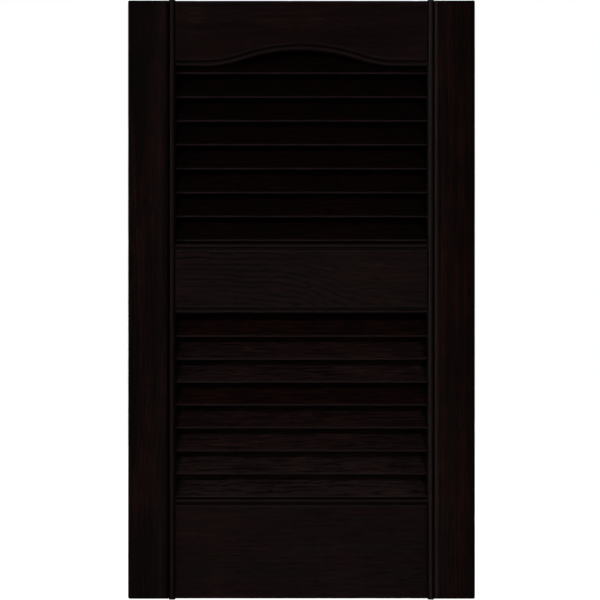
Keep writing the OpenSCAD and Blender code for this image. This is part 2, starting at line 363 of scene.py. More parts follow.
# ---------------------------------------------------------------------------
# Finishes
# ---------------------------------------------------------------------------
class Finish:
    """A node material with short helpers for its links."""

    def __init__(self, name):
        self.material = bpy.data.materials.new(name)
        self.material.use_nodes = True
        self.tree = self.material.node_tree
        self.tree.nodes.clear()

    def node(self, kind, **settings):
        made = self.tree.nodes.new(kind)
        for key, value in settings.items():
            setattr(made, key, value)
        return made

    def feed(self, node, socket, source):
        if isinstance(source, bpy.types.NodeSocket):
            self.tree.links.new(source, node.inputs[socket])
        else:
            node.inputs[socket].default_value = source

    def math(self, operation, a, b=0.0, clamp=False):
        node = self.node("ShaderNodeMath", operation=operation, use_clamp=clamp)
        self.feed(node, 0, a)
        self.feed(node, 1, b)
        return node.outputs[0]

    def noise(self, vector, scale, detail=3.0, roughness=0.55):
        node = self.node("ShaderNodeTexNoise")
        self.feed(node, "Vector", vector)
        self.feed(node, "Scale", scale)
        self.feed(node, "Detail", detail)
        self.feed(node, "Roughness", roughness)
        return node.outputs["Fac"]

    def stretch(self, vector, scale, offset=(0, 0, 0)):
        node = self.node("ShaderNodeMapping")
        self.feed(node, "Vector", vector)
        self.feed(node, "Scale", scale)
        self.feed(node, "Location", offset)
        return node.outputs[0]

    def turn(self, vector, angle):
        """Coordinates turned about Y, so that what is drawn along X runs slightly downhill."""
        node = self.node("ShaderNodeMapping")
        self.feed(node, "Vector", vector)
        self.feed(node, "Rotation", (0, angle, 0))
        return node.outputs[0]

    def window(self, value, low, high, out_low=0.0, out_high=1.0):
        node = self.node("ShaderNodeMapRange", interpolation_type="SMOOTHSTEP")
        for socket, v in (("Value", value), ("From Min", low), ("From Max", high),
                          ("To Min", out_low), ("To Max", out_high)):
            self.feed(node, socket, v)
        return node.outputs[0]

    def blend(self, factor, a, b, mode="MIX"):
        node = self.node("ShaderNodeMix", data_type="RGBA", blend_type=mode)
        self.feed(node, 0, factor)
        self.feed(node, 6, a)
        self.feed(node, 7, b)
        return node.outputs[2]

    def attribute(self, name):
        node = self.node("ShaderNodeAttribute", attribute_name=name)
        return node.outputs["Fac"]


BUMP_STRENGTH = 0.55
BUMP_DEPTH = 0.25 * MM
LINE_ROUGHNESS = 0.12
RUBBED_POLISH = 0.12


def stained_wood(name, grain, tone, line_depth, pore_depth, streak, streak_scale, blotch, gloss,
                 per_slat=False):
    """Near-black stain over open grain, which runs along X or Z. The growth lines come with the
    mesh, and the fibres, pores and cloudy tint are worked out here along the grain. The depths,
    streak and blotch say how far each darkens or lightens the tone, from 0 to 1."""
    f = Finish(name)
    coords = f.node("ShaderNodeTexCoord").outputs["Object"]
    if per_slat:
        shift = f.node("ShaderNodeCombineXYZ")
        f.feed(shift, 0, f.math("MULTIPLY", f.attribute("slat"), 0.731))
        f.feed(shift, 1, f.math("MULTIPLY", f.attribute("slat"), 0.117))
        moved = f.node("ShaderNodeVectorMath", operation="ADD")
        f.feed(moved, 0, coords)
        f.feed(moved, 1, shift.outputs[0])
        coords = f.turn(moved.outputs[0], SLAT_GRAIN_SLANT)
    squeeze = {"X": (0.05, 1, 1), "Z": (1, 1, 0.05)}[grain]
    short = {"X": (0.11, 1, 1), "Z": (1, 1, 0.11)}[grain]
    fibre_space = f.stretch(coords, squeeze)
    pore_space = f.stretch(coords, short)

    fibres = f.noise(fibre_space, 900.0, 4.0, 0.6)
    streaks = f.noise(fibre_space, streak_scale, 3.0, 0.5)
    pores = f.window(f.noise(pore_space, 720.0, 2.0, 0.5), 0.57, 0.68)
    cloud = f.noise(coords, 16.0, 3.0, 0.5)
    blush = f.noise(f.stretch(coords, squeeze, (0.3, 0.7, 0.1)), 70.0, 2.0, 0.5)
    lines = f.attribute("figure")

    brown = (tone[0] * 1.06, tone[1] * 1.04, tone[2] * 0.94, 1)
    wine = (tone[0] * 1.02, tone[1] * 0.96, tone[2] * 1.02, 1)
    base = f.blend(f.window(cloud, 0.38, 0.64), wine, brown)
    olive = (tone[0] * 0.94, tone[1] * 1.30, tone[2] * 0.92, 1)
    base = f.blend(f.math("MULTIPLY", f.window(blush, 0.56, 0.72), 0.5), base, olive)

    light = f.window(streaks, 0.38, 0.62, 1 - streak, 1 + streak)
    light = f.math("MULTIPLY", light, f.window(cloud, 0.36, 0.64, 1 - blotch, 1 + blotch))
    light = f.math("MULTIPLY", light, f.window(fibres, 0.34, 0.66, 0.72, 1.28))
    light = f.math("MULTIPLY", light, f.window(lines, 0.0, 1.0, 1.06, 1.0 - line_depth))
    light = f.math("MULTIPLY", light, f.window(pores, 0.0, 1.0, 1.0, 1.0 - pore_depth))
    if per_slat:
        # A stain value under 1 darkens the slat: painted shade on the upper louvres.
        light = f.math("MULTIPLY", light, f.math("MINIMUM", f.attribute("stain"), 1.0))
    wear_and_light = f.attribute("wear_and_painted_light")
    # Negative wear darkens the colour: painted shade in grooves, at the slat ends and along parts of the
    # rails and stiles.
    light = f.math("MULTIPLY", light, f.window(wear_and_light, -0.5, 0.0, 0.15, 1.0))
    # Rubbed edges lighten towards a pale colour: partly wear, partly a painted highlight on arrises, lips
    # and beads.
    rubbed_and_highlit = f.math("MULTIPLY", wear_and_light, f.window(fibres, 0.2, 0.7, 0.55, 1.0), clamp=True)
    grey = f.node("ShaderNodeCombineColor")
    for i in range(3):
        f.feed(grey, i, light)
    colour = f.blend(1.0, base, grey.outputs[0], "MULTIPLY")
    if per_slat:
        # A stain value over 1 adds grey: a painted sheen on the lower louvres.
        faded = f.math("SUBTRACT", f.attribute("stain"), 1.0, clamp=True)
        painted_sheen = f.blend(1.0, (PAINTED_SHEEN_GREY, PAINTED_SHEEN_GREY, PAINTED_SHEEN_GREY, 1), grey.outputs[0], "MULTIPLY")
        colour = f.blend(faded, colour, painted_sheen, "ADD")
    colour = f.blend(rubbed_and_highlit, colour, (*BARE_EDGE_AND_HIGHLIGHT, 1))

    rough = f.window(streaks, 0.25, 0.75, 0.47 - 0.8 * gloss, 0.61 - 0.8 * gloss)
    rough = f.math("ADD", rough, f.math("MULTIPLY", lines, LINE_ROUGHNESS))
    rough = f.math("SUBTRACT", rough, f.math("MULTIPLY", rubbed_and_highlit, RUBBED_POLISH), clamp=True)

    height = f.math("MULTIPLY", fibres, 0.35)
    height = f.math("SUBTRACT", height, f.math("MULTIPLY", pores, 0.7))
    height = f.math("ADD", height, f.math("MULTIPLY", streaks, 0.5))
    bump = f.node("ShaderNodeBump")
    f.feed(bump, "Strength", BUMP_STRENGTH)
    f.feed(bump, "Distance", BUMP_DEPTH)
    f.feed(bump, "Height", height)

    shader = f.node("ShaderNodeBsdfPrincipled")
    f.feed(shader, "Base Color", colour)
    f.feed(shader, "Roughness", rough)
    f.feed(shader, "Normal", bump.outputs[0])
    f.feed(shader, "Specular IOR Level", gloss)
    out = f.node("ShaderNodeOutputMaterial")
    f.tree.links.new(shader.outputs[0], out.inputs[0])
    return f.material


RAIL_TONE = (0.0200, 0.0080, 0.0076)
PLAIN_TONE = (0.0170, 0.0060, 0.0057)
LEFT_TONE = (0.0140, 0.0045, 0.0038)
RIGHT_TONE = (0.0176, 0.0046, 0.0030)
BEAD_TONE = (0.0165, 0.0032, 0.0029)
LOUVRE_TONE = (0.0175, 0.0046, 0.0040)
# Pale colour of rubbed edges, partly wear and partly painted highlight.
BARE_EDGE_AND_HIGHLIGHT = (0.046, 0.029, 0.028)
PAINTED_SHEEN_GREY = 0.020
SLAT_GRAIN_SLANT = 0.07

left_stile_finish = stained_wood("left_stile_stain", "Z", LEFT_TONE, line_depth=0.6, pore_depth=0.6,
                                 streak=0.40, streak_scale=130.0, blotch=0.26, gloss=0.08)
right_stile_finish = stained_wood("right_stile_stain", "Z", RIGHT_TONE, line_depth=0.6, pore_depth=0.6,
                                  streak=0.38, streak_scale=130.0, blotch=0.24, gloss=0.08)
left_bead_finish = stained_wood("left_bead_stain", "Z", BEAD_TONE, line_depth=0.2, pore_depth=0.35,
                                streak=0.2, streak_scale=170.0, blotch=0.0, gloss=0.095)
right_bead_finish = stained_wood("right_bead_stain", "Z", BEAD_TONE, line_depth=0.2, pore_depth=0.35,
                                 streak=0.2, streak_scale=170.0, blotch=0.0, gloss=0.185)
rail_finish = stained_wood("rail_stain", "X", RAIL_TONE, line_depth=0.85, pore_depth=0.65,
                           streak=0.16, streak_scale=170.0, blotch=0.08, gloss=0.12)
plain_rail_finish = stained_wood("plain_rail_stain", "X", PLAIN_TONE, line_depth=0.5, pore_depth=0.45,
                                 streak=0.2, streak_scale=120.0, blotch=0.12, gloss=0.09)
louvre_finish = stained_wood("louvre_stain", "X", LOUVRE_TONE, line_depth=0.6, pore_depth=0.65,
                             streak=0.30, streak_scale=640.0, blotch=0.08, gloss=0.10, per_slat=True)


# ---------------------------------------------------------------------------
# Stiles
# ---------------------------------------------------------------------------
def end_ease(distance, radius):
    """How far an edge pulls in at a distance from a rounded end."""
    t = np.clip(radius - distance, 0, radius)
    return radius - np.sqrt(np.maximum(radius * radius - t * t, 0))


# Painted light and shade across a stile's face, darker towards its outer edge, by the distance from its
# outer edge in millimetres.
LEFT_FACE_PAINTED_LIGHT = (
    (0, 1.6, 5, 12, 20, 27, 33, 36.5, 38, 39.5, 41),
    (-0.30, -0.20, -0.10, -0.03, 0, 0.05, 0.12, 0.12, 0.05, -0.05, -0.20),
)
RIGHT_FACE_PAINTED_LIGHT = (
    (0, 2, 5, 10, 16, 24, 30, 33, 35.4),
    (-0.45, -0.35, -0.22, -0.14, -0.02, 0.05, 0.06, 0.08, 0.12),
)


def build_stile(name, side, finish, rub_radius):
    edge, arris = STILE_EDGE_R, STILE_ARRIS_R
    rebate_x = STRIP_SIDE + STRIP_GAP
    section = outline(
        [
            (OPENING_X, 0),
            (OPENING_X, STRIP_SEAT),
            (rebate_x, STRIP_SEAT),
            arc(rebate_x + arris, STILE_FACE + arris, arris, 180, 270, 10),
            arc(OUTER_X - edge, STILE_FACE + edge, edge, 270, 360, 6),
            arc(OUTER_X - STILE_BACK_R, -STILE_BACK_R, STILE_BACK_R, 0, 90, 2),
        ],
        [2.5 * MM, 3 * MM, 1.2 * MM, 0.8 * MM, 2.2 * MM, 3.5 * MM],
    )
    section = np.array(section)
    z = stations(FRAME_LOW, FRAME_TOP, 4.5 * MM, STILE_END_STEPS)
    to_end = np.minimum(z - FRAME_LOW, FRAME_TOP - z)
    grid = carried(section, z, "Z")
    limit_x = OUTER_X - end_ease(to_end, STILE_EDGE_R)
    limit_y = STILE_FACE + end_ease(to_end, STILE_FACE_EASE)
    grid[..., 0] = np.minimum(grid[..., 0], limit_x[:, None])
    grid[..., 1] = np.maximum(grid[..., 1], limit_y[:, None])
    board = dict(BOARD, seed=11 if side < 0 else 23, wander_len=0.26, wander=0.012,
                 pith_across=0.235 if side < 0 else 0.05, pith_depth=0.03, ring=0.0042,
                 swing=0.03, turn_at=-0.1 if side < 0 else 0.12, turn_len=0.16)
    keep = np.clip((-grid[..., 1] - 4 * MM) / (4 * MM), 0.35, 1)
    grid, figure = carve(grid, board, "Z", 0.10 * MM, 0.10 * MM, keep)
    if side < 0:
        grid[..., 0] *= -1
    wear_and_light = wear_and_painted_light(section, rub_radius)
    # The face takes the painted light and shade of its table, except close to the inner arris.
    face_light, clear_of = (LEFT_FACE_PAINTED_LIGHT, 0.2 * arris) if side < 0 else (RIGHT_FACE_PAINTED_LIGHT, 2 * arris)
    from_edge = np.interp((OUTER_X - section[:, 0]) / MM, *face_light)
    wear_and_light = np.where(section[:, 0] > rebate_x + clear_of, from_edge, wear_and_light)
    return make_piece(name + "_moulded", grid, figure, wear_and_light, finish, [name])


# ---------------------------------------------------------------------------
# Rails
# ---------------------------------------------------------------------------
# The centre rail is cut from a board that is boldly figured towards its left end, the top and
# the bottom rail from plain ones.
BOLD_FIGURE = ((-OPENING_X, 0.02, OPENING_X), (2.6, 1.2, 0.7))
PLAIN_FIGURE = 0.45

# Painted light and shade along each rail, from its left end to its right one: X in millimetres, then the
# value added, below 0 painted shade and above 0 painted light.
TOP_PAINTED_LIGHT = ((-132, -118, -95, 132), (-0.16, -0.06, 0, 0.06))
CENTRE_PAINTED_LIGHT = ((-132, -80, -40, 60, 100, 132), (-0.06, 0, 0.05, 0.05, -0.07, -0.10))
BOTTOM_PAINTED_LIGHT = ((-132, -100, 50, 80, 132), (-0.05, 0, 0, -0.05, -0.16))


def moulded_edge(z, up):
    """Front of a rail's edge from its underside to its face, for an edge at height z whose
    wood lies above it (up = 1) or below it (up = -1): bead, groove and eased arris."""
    def at(lift, y):
        return (y, z + up * lift)

    bead = [at(BEAD_INSET - BEAD_R * math.cos(a), GROOVE_FLOOR - BEAD_R * math.sin(a))
            for a in np.radians(np.linspace(0, 180, 15))]
    wall = MOULDING_W
    arris = [at(wall + FACE_ARRIS_R - FACE_ARRIS_R * math.cos(a),
                RAIL_FACE + FACE_ARRIS_R - FACE_ARRIS_R * math.sin(a))
             for a in np.radians(np.linspace(0, 90, 5))]
    floor = [at(BEAD_INSET + BEAD_R + GROOVE_W * t, GROOVE_FLOOR + 0.25 * MM * math.sin(math.pi * t))
             for t in (0.12, 0.35, 0.6, 0.85, 1.0)]
    rise = [at(wall, GROOVE_FLOOR + (RAIL_FACE + FACE_ARRIS_R - GROOVE_FLOOR) * t)
            for t in (0.4, 0.8)]
    return [at(0, GROOVE_FLOOR)] + bead + floor + rise + arris


def weathered_top(z):
    """Upper edge of a rail behind its bead: level, then rising to the wall."""
    slope = (-WEATHERING_DEPTH, z)
    return ruled((GROOVE_FLOOR + 1 * MM, z), slope, 3 * MM) + ruled(slope, (0, z + WEATHERING), 3 * MM)


def rail_face_points(z0, z1, step=1.0 * MM):
    return ruled((RAIL_FACE, z0), (RAIL_FACE, z1), step)[1:]


def painted_light_along(grid, table):
    """Painted light and shade that changes along a rail, one value for each row of its grid."""
    return np.interp(grid[:, :1, 0] / MM, *table)


def straight_rail_grid(section, step=4.0 * MM):
    return eased_ends(carried(np.array(section), stations(-OPENING_X, OPENING_X, step, RAIL_END_STEPS), "X"))


def eased_ends(grid):
    """Rounds a rail's face off where it meets the stiles."""
    to_end = OPENING_X - np.abs(grid[:, 0, 0])
    limit_y = RAIL_FACE + end_ease(to_end, RAIL_FACE_EASE)
    grid[..., 1] = np.maximum(grid[..., 1], limit_y[:, None])
    return grid


def housing_y(z, lip_z):
    """Back of a rail where the louvre with that lip passes behind it."""
    reach = LIP_R + LOUVRE_GAP
    y0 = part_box("louvre_01")[0].y + LIP_R - reach * math.cos(LOUVRE_LEAN)
    z0 = lip_z + LIP_R + reach * math.sin(LOUVRE_LEAN)
    return y0 + (z - z0) * math.tan(LOUVRE_LEAN)


def build_centre_rail():
    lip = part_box(LOWER_LOUVRES[0])[0].z
    room_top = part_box(LOWER_LOUVRES[0])[1].z + LOUVRE_GAP
    face = rail_face_points(CENTRE_LOW + MOULDING_W + FACE_ARRIS_R,
                            CENTRE_TOP - MOULDING_W - FACE_ARRIS_R)
    section = [(housing_y(CENTRE_LOW, lip), CENTRE_LOW)]
    section += moulded_edge(CENTRE_LOW, 1) + face + moulded_edge(CENTRE_TOP, -1)[::-1]
    section += weathered_top(CENTRE_TOP)
    section += ruled((0, CENTRE_TOP + WEATHERING), (0, room_top), 6 * MM)
    section += [(0, room_top), (housing_y(room_top, lip), room_top)]
    grid = straight_rail_grid(section, 3.0 * MM)
    wear_and_light = wear_and_painted_light(section) + painted_light_along(grid, CENTRE_PAINTED_LIGHT)
    board = dict(BOARD, seed=5, ring=0.0052, pith_across=-0.052, pith_depth=0.012,
                 swing=0.060, turn_at=0.010, turn_len=0.030, wander=0.005, ripple=0.0017)
    grid, figure = carve(grid, board, "X", 0.40 * MM, 0.12 * MM, face_only(grid))
    figure = np.clip(figure * np.interp(grid[..., 0], *BOLD_FIGURE) * face_only(grid) ** 2, 0, 1)
    return make_piece("centre_rail_moulded", grid, figure, wear_and_light, rail_finish, ["centre_rail"])


def face_only(grid):
    """Full relief on the faces that show, and little on the back and in the mouldings."""
    return np.clip((-grid[..., 1] + RAIL_FACE + 2.2 * MM) / (1 * MM), 0.25, 1)


def build_bottom_rail():
    edge = RAIL_EDGE_R
    lower = arc(RAIL_FACE + edge, FRAME_LOW + edge, edge, 270, 180, 5)
    face = rail_face_points(FRAME_LOW + edge, BOTTOM_TOP - MOULDING_W - FACE_ARRIS_R)
    section = ruled((0, FRAME_LOW), lower[0], 5 * MM) + lower + face
    section += moulded_edge(BOTTOM_TOP, -1)[::-1] + weathered_top(BOTTOM_TOP)
    section += ruled((0, BOTTOM_TOP + WEATHERING), (0, FRAME_LOW), 6 * MM)
    grid = straight_rail_grid(section)
    wear_and_light = wear_and_painted_light(section) + painted_light_along(grid, BOTTOM_PAINTED_LIGHT)
    board = dict(BOARD, seed=8, ring=0.0061, pith_across=-0.16, pith_depth=0.05, wander=0.01)
    grid, figure = carve(grid, board, "X", 0.07 * MM, 0.14 * MM, face_only(grid))
    figure *= PLAIN_FIGURE
    return make_piece("bottom_rail_moulded", grid, figure, wear_and_light, plain_rail_finish, ["bottom_rail"])


def arch_line(step):
    """Stations along the arched edge: where each is, and the way up into the rail. The edge
    is two tangent arcs on each side, round the crown and round the shoulder."""
    angle = 2 * math.atan(ARCH_RISE / ARCH_HALF_W)
    crown_r = ARCH_TURN / math.sin(angle)
    shoulder_r = (ARCH_HALF_W - ARCH_TURN) / math.sin(angle)
    crown_z = TOP_LOW + ARCH_RISE - crown_r
    shoulder_z = TOP_LOW + shoulder_r
    right = []
    for a in np.linspace(0, angle, round(crown_r * angle / step) + 1)[:-1]:
        right.append((crown_r * math.sin(a), crown_z + crown_r * math.cos(a), math.sin(a), math.cos(a)))
    for a in np.linspace(angle, 0, round(shoulder_r * angle / step) + 1):
        right.append((ARCH_HALF_W - shoulder_r * math.sin(a), shoulder_z - shoulder_r * math.cos(a),
                      math.sin(a), math.cos(a)))
    level = stations(ARCH_HALF_W, OPENING_X, step, RAIL_END_STEPS)
    right += [(x, TOP_LOW, 0, 1) for x in level[1:]]
    left = [(-x, z, -nx, nz) for x, z, nx, nz in right[:0:-1]]
    return np.array(left + right)


def build_top_rail():
    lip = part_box(UPPER_LOUVRES[0])[0].z
    room_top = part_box(UPPER_LOUVRES[0])[1].z + LOUVRE_GAP
    edge = RAIL_EDGE_R
    mould = np.array(moulded_edge(0, 1))
    brow = (housing_y(room_top, lip), room_top)
    over = arc(RAIL_FACE + edge, FRAME_TOP - edge, edge, 180, 90, 5)
    back = ruled(over[-1], (0, FRAME_TOP), 5 * MM)[1:]
    back += ruled((0, FRAME_TOP), (0, room_top), 6 * MM) + ruled((0, room_top), brow, 3 * MM)
    rows = []
    for x, z, nx, nz in arch_line(3.0 * MM):
        lifted = [(x + nx * lift, y, z + nz * lift) for y, lift in mould]
        crest = (x, RAIL_FACE, FRAME_TOP - edge)
        face = between(lifted[-1], crest, TOP_FACE_STEPS)[1:-1]
        slope = between(brow, (housing_y(z, lip), z), TOP_SLOPE_STEPS)
        rows.append(lifted + face + [(x, *spot) for spot in over + back + slope])
    grid = np.array(rows)
    wear_and_light = wear_and_painted_light(grid[-1, :, 1:]) + painted_light_along(grid, TOP_PAINTED_LIGHT)
    grid = eased_ends(grid)
    board = dict(BOARD, seed=3, ring=0.0057, pith_across=0.40, pith_depth=0.04, wander=0.012)
    grid, figure = carve(grid, board, "X", 0.07 * MM, 0.14 * MM, face_only(grid))
    figure *= PLAIN_FIGURE
    return make_piece("top_rail_moulded", grid, figure, wear_and_light, plain_rail_finish, ["top_rail"])


# ---------------------------------------------------------------------------
# Geometry Nodes: what is swept along a line and repeated
# ---------------------------------------------------------------------------
class Tree:
    """A Geometry Nodes tree with named inputs and short helpers for its links."""

    def __init__(self, name):
        self.tree = bpy.data.node_groups.new(name, "GeometryNodeTree")
        self.tree.interface.new_socket("Geometry", in_out="INPUT", socket_type="NodeSocketGeometry")
        self.tree.interface.new_socket("Geometry", in_out="OUTPUT", socket_type="NodeSocketGeometry")
        self.source = self.tree.nodes.new("NodeGroupInput")
        self.ids = {}

    def value(self, name, kind="Float"):
        made = self.tree.interface.new_socket(name, in_out="INPUT", socket_type="NodeSocket" + kind)
        self.ids[name] = made.identifier
        return self.source.outputs[name]

    def node(self, kind, **settings):
        made = self.tree.nodes.new(kind)
        for key, value in settings.items():
            setattr(made, key, value)
        return made

    def feed(self, node, **inputs):
        for key, source in inputs.items():
            socket = node.inputs[key.replace("_", " ")]
            self.join(socket, source)
        return node

    def join(self, socket, source):
        if isinstance(source, bpy.types.NodeSocket):
            self.tree.links.new(source, socket)
        else:
            socket.default_value = source

    def math(self, operation, a, b=0.0):
        node = self.node("ShaderNodeMath", operation=operation)
        self.join(node.inputs[0], a)
        self.join(node.inputs[1], b)
        return node.outputs[0]

    def vector(self, x=0.0, y=0.0, z=0.0):
        node = self.node("ShaderNodeCombineXYZ")
        for i, part in enumerate((x, y, z)):
            self.join(node.inputs[i], part)
        return node.outputs[0]

    def finish(self, geometry):
        out = self.node("NodeGroupOutput")
        self.tree.links.new(geometry, out.inputs[0])

    def grow(self, name, drawing, settings):
        """Runs the tree once on a drawing and keeps its result as a plain mesh object."""
        maker = bpy.data.objects.new(name + "_maker", drawing)
        bpy.context.scene.collection.objects.link(maker)
        modifier = maker.modifiers.new("build", "NODES")
        modifier.node_group = self.tree
        for key, setting in settings.items():
            modifier[self.ids[key]] = setting
        bpy.context.view_layer.update()
        ready = maker.evaluated_get(bpy.context.evaluated_depsgraph_get())
        mesh = bpy.data.meshes.new_from_object(ready)
        maker.modifiers.remove(modifier)
        bpy.data.objects.remove(maker)
        mesh.name = name
        return bpy.data.objects.new(name, mesh)


def slat_section(depth, height):
    """Outline of a louvre seen from its end, as Y and Z from the middle of its rounded lip.
    The lower edge is level and the back edge plumb."""
    slope, r = math.tan(LOUVRE_LEAN), LIP_R
    face = -r / math.cos(LOUVRE_LEAN)
    back = (LOUVRE_T - r) / math.cos(LOUVRE_LEAN)
    wall, top = depth - r, height - r
    lip = arc(0, 0, r, 180 - math.degrees(LOUVRE_LEAN), 270, 7)
    return outline(
        [lip, (back - r * slope, -r), (wall, (wall - back) / slope), (wall, top), (face + top * slope, top)],
        [1.2 * MM, 3 * MM, 3 * MM, 1.5 * MM, 0.8 * MM],
    )


# Painted shadow where the slats meet the stiles, and a broad painted shade towards their right ends.
CORNER_SPREAD = 0.45
CORNER_W = 1.8 * MM
CORNER_SHADE = -0.27
SHADE_FROM, SHADE_TO = 80 * MM, 118 * MM
BROAD_SHADE = -0.13


def painted_end_shade(t, spot, wear_and_light, lip, opening):
    """Wear of a slat with painted shade where it meets the stiles: a narrow painted shadow in the corner
    that widens towards the back, and on the right a broad, thin painted shade as well."""
    parts = t.node("ShaderNodeSeparateXYZ")
    t.feed(parts, Vector=spot)
    lip_parts = t.node("ShaderNodeSeparateXYZ")
    t.feed(lip_parts, Vector=lip)
    x = parts.outputs[0]
    deep = t.math("SUBTRACT", parts.outputs[1], lip_parts.outputs[1])
    to_stile = t.math("SUBTRACT", opening, t.math("ABSOLUTE", x))
    corner = t.math("SUBTRACT", to_stile, t.math("MULTIPLY", deep, CORNER_SPREAD))
    narrow = t.node("ShaderNodeMapRange", interpolation_type="SMOOTHSTEP")
    t.feed(narrow, Value=corner, From_Min=0.0, From_Max=CORNER_W, To_Min=CORNER_SHADE, To_Max=0.0)
    broad = t.node("ShaderNodeMapRange", interpolation_type="SMOOTHSTEP")
    t.feed(broad, Value=x, From_Min=SHADE_FROM, From_Max=SHADE_TO, To_Min=0.0, To_Max=BROAD_SHADE)
    return t.math("ADD", wear_and_light, t.math("ADD", narrow.outputs[0], broad.outputs[0]))


def louvre_tree():
    """One louvre is its section swept along the opening. It is repeated down the opening at an
    even pitch, and grain is sunk into every copy from its own place in the board."""
    t = Tree("louvre_bank")
    section = t.source.outputs[0]
    length = t.value("Length")
    opening = t.value("Half opening")
    pitch = t.value("Pitch")
    count = t.value("Count", "Int")
    lip = t.value("Top lip", "Vector")
    relief = t.value("Grain depth")
    seed = t.value("Seed", "Int")
    finish = t.value("Finish", "Material")

    profile = t.node("GeometryNodeMeshToCurve")
    t.feed(profile, Mesh=section)
    half = t.math("MULTIPLY", length, 0.5)
    line = t.node("GeometryNodeCurvePrimitiveLine")
    t.feed(line, Start=t.vector(t.math("MULTIPLY", half, -1.0)), End=t.vector(half))
    steps = t.node("GeometryNodeResampleCurve", mode="LENGTH")
    t.feed(steps, Curve=line.outputs[0], Length=3.5 * MM)
    slat = t.node("GeometryNodeCurveToMesh")
    t.feed(slat, Curve=steps.outputs[0], Profile_Curve=profile.outputs[0], Fill_Caps=True)

    rows = t.node("GeometryNodeMeshLine")
    t.feed(rows, Count=count, Start_Location=lip)
    t.feed(rows, Offset=t.vector(0.0, 0.0, t.math("MULTIPLY", pitch, -1.0)))
    copies = t.node("GeometryNodeInstanceOnPoints")
    t.feed(copies, Points=rows.outputs[0], Instance=slat.outputs[0])
    index = t.node("GeometryNodeInputIndex").outputs[0]
    numbered = t.node("GeometryNodeStoreNamedAttribute", data_type="FLOAT", domain="INSTANCE")
    t.feed(numbered, Geometry=copies.outputs[0], Name="slat", Value=t.math("ADD", index, seed))
    bank = t.node("GeometryNodeRealizeInstances")
    t.feed(bank, Geometry=numbered.outputs[0])

    number = t.node("GeometryNodeInputNamedAttribute", data_type="FLOAT")
    t.feed(number, Name="slat")
    spot = t.node("GeometryNodeInputPosition").outputs[0]
    grain_space = t.node("ShaderNodeVectorMath", operation="MULTIPLY")
    t.join(grain_space.inputs[0], spot)
    grain_space.inputs[1].default_value = (0.045, 1.0, 1.0)
    shifted = t.node("ShaderNodeVectorMath", operation="ADD")
    t.join(shifted.inputs[0], grain_space.outputs[0])
    t.join(shifted.inputs[1], t.vector(t.math("MULTIPLY", number.outputs[0], 0.37)))
    coarse = t.node("ShaderNodeTexNoise")
    t.feed(coarse, Vector=shifted.outputs[0], Scale=430.0, Detail=2.0, Roughness=0.55)
    lines = t.node("ShaderNodeMapRange", interpolation_type="SMOOTHSTEP")
    t.feed(lines, Value=coarse.outputs[0], From_Min=0.50, From_Max=0.66)

    normal = t.node("GeometryNodeInputNormal").outputs[0]
    sunk = t.node("ShaderNodeVectorMath", operation="SCALE")
    t.join(sunk.inputs[0], normal)
    t.join(sunk.inputs["Scale"], t.math("MULTIPLY", t.math("MULTIPLY", relief, -1.0), lines.outputs[0]))
    lined = t.node("GeometryNodeStoreNamedAttribute", data_type="FLOAT", domain="POINT")
    t.feed(lined, Geometry=bank.outputs[0], Name="figure", Value=lines.outputs[0])
    carved = t.node("GeometryNodeSetPosition")
    t.feed(carved, Geometry=lined.outputs[0], Offset=sunk.outputs[0])
    wear_and_light = t.node("GeometryNodeInputNamedAttribute", data_type="FLOAT")
    t.feed(wear_and_light, Name="wear_and_painted_light")
    # The slat ends are darkened here as painted shadow.
    with_end_shade = painted_end_shade(t, spot, wear_and_light.outputs[0], lip, opening)
    darkened = t.node("GeometryNodeStoreNamedAttribute", data_type="FLOAT", domain="POINT")
    t.feed(darkened, Geometry=carved.outputs[0], Name="wear_and_painted_light", Value=with_end_shade)
    stained = t.node("GeometryNodeSetMaterial")
    t.feed(stained, Geometry=darkened.outputs[0], Material=finish)
    t.finish(stained.outputs[0])
    return t


def build_louvres(tree, name, nodes, seed, stain_and_light):
    top_low, top_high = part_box(nodes[0])
    last_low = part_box(nodes[-1])[0]
    section = slat_section(top_high.y - top_low.y, top_high.z - top_low.z)
    drawing = bpy.data.meshes.new(name + "_section")
    ring = [(i, (i + 1) % len(section)) for i in range(len(section))]
    drawing.from_pydata([(-y, -z, 0) for y, z in section], ring, [])
    wear_and_light = drawing.attributes.new("wear_and_painted_light", "FLOAT", "POINT")
    wear_and_light.data.foreach_set("value", wear_and_painted_light(section))
    settings = {
        "Length": 2 * (OPENING_X + LOUVRE_SEAT),
        "Half opening": OPENING_X,
        "Pitch": (top_low.z - last_low.z) / (len(nodes) - 1),
        "Count": len(nodes),
        "Top lip": (0.0, top_low.y + LIP_R, top_low.z + LIP_R),
        "Grain depth": 0.2 * MM,
        "Seed": seed,
        "Finish": louvre_finish,
    }
    bank = tree.grow(name, drawing, settings)
    smooth_sides(bank.data)
    numbers = np.zeros(len(bank.data.vertices), np.float32)
    bank.data.attributes["slat"].data.foreach_get("value", numbers)
    # Each slat's stain value, which paints shade on the upper louvres and sheen on the lower ones.
    stain = bank.data.attributes.new("stain", "FLOAT", "POINT")
    stain.data.foreach_set("value", np.array(stain_and_light, np.float32)[np.round(numbers).astype(int) - seed])
    return place(bank, nodes)


def smooth_sides(mesh):
    """Smooth shading round the boards and flat shading on their sawn ends."""
    flat = [abs(face.normal.x) > 0.9 for face in mesh.polygons]
    mesh.polygons.foreach_set("use_smooth", [not f for f in flat])


